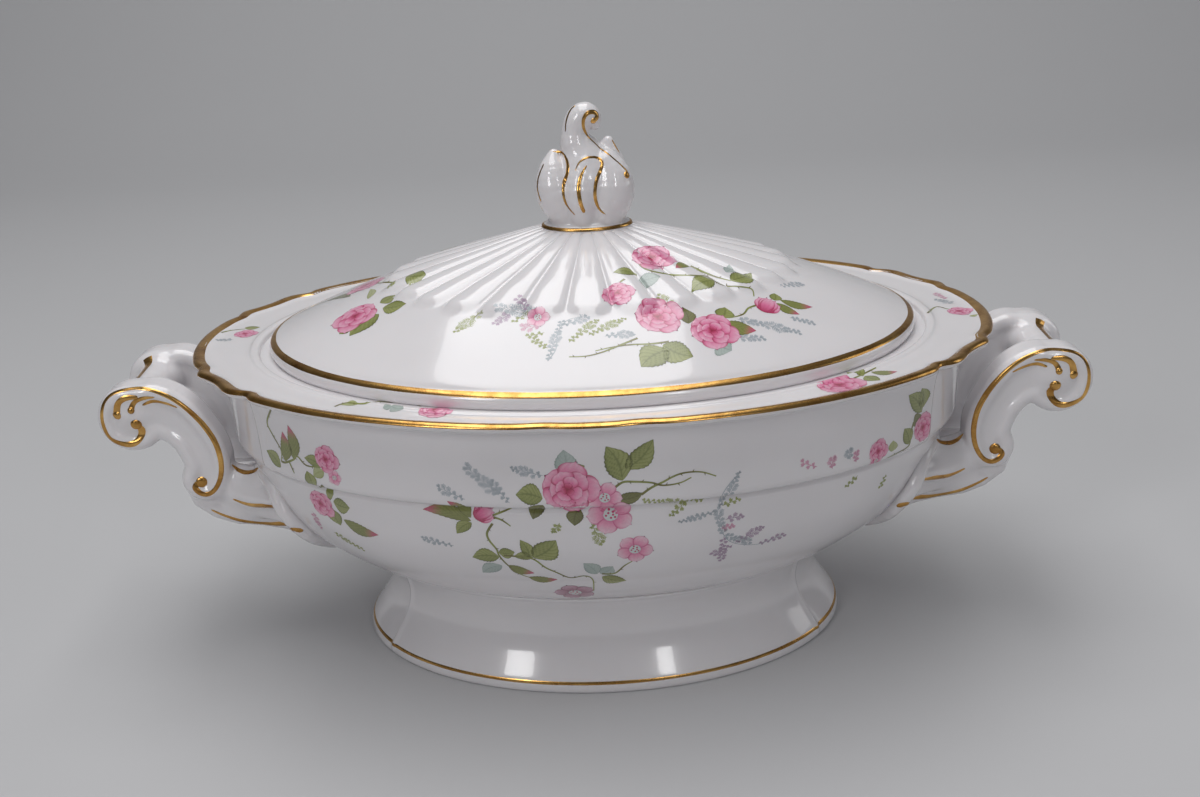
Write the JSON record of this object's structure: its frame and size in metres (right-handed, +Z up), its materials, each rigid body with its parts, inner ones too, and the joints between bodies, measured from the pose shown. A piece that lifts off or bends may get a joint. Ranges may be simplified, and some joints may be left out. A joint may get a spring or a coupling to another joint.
{
  "type": "soup tureen",
  "caption": "Oval covered soup tureen with a flanged rim, pedestal foot, scroll handles and a lift-off lobed lid with a leaf knob.",
  "frame": {"origin": "on the table under the centre of the oval, in the plane of the foot ring", "axes": "+X along the oval's long axis, through the two handles; +Z up, the way the lid lifts; +Y to the back"},
  "size_m": [0.334, 0.19, 0.1844],
  "materials": {
    "bowl_porcelain": "gloss",
    "foot_porcelain": "gloss",
    "handle_porcelain": "gloss",
    "lid_porcelain": "gloss",
    "knob_porcelain": "gloss"
  },
  "bodies": {
    "tureen": {"bowl": "bowl_porcelain", "foot": "foot_porcelain", "handle_left": "handle_porcelain", "handle_right": "handle_porcelain"},
    "cover": {"lid": "lid_porcelain", "knob": "knob_porcelain"}
  },
  "joints": [
    {"name": "lid_lift", "type": "slide", "parent": "tureen", "child": "cover", "axis": [0, 0, 1], "range_m": [0, 0.16]}
  ]
}
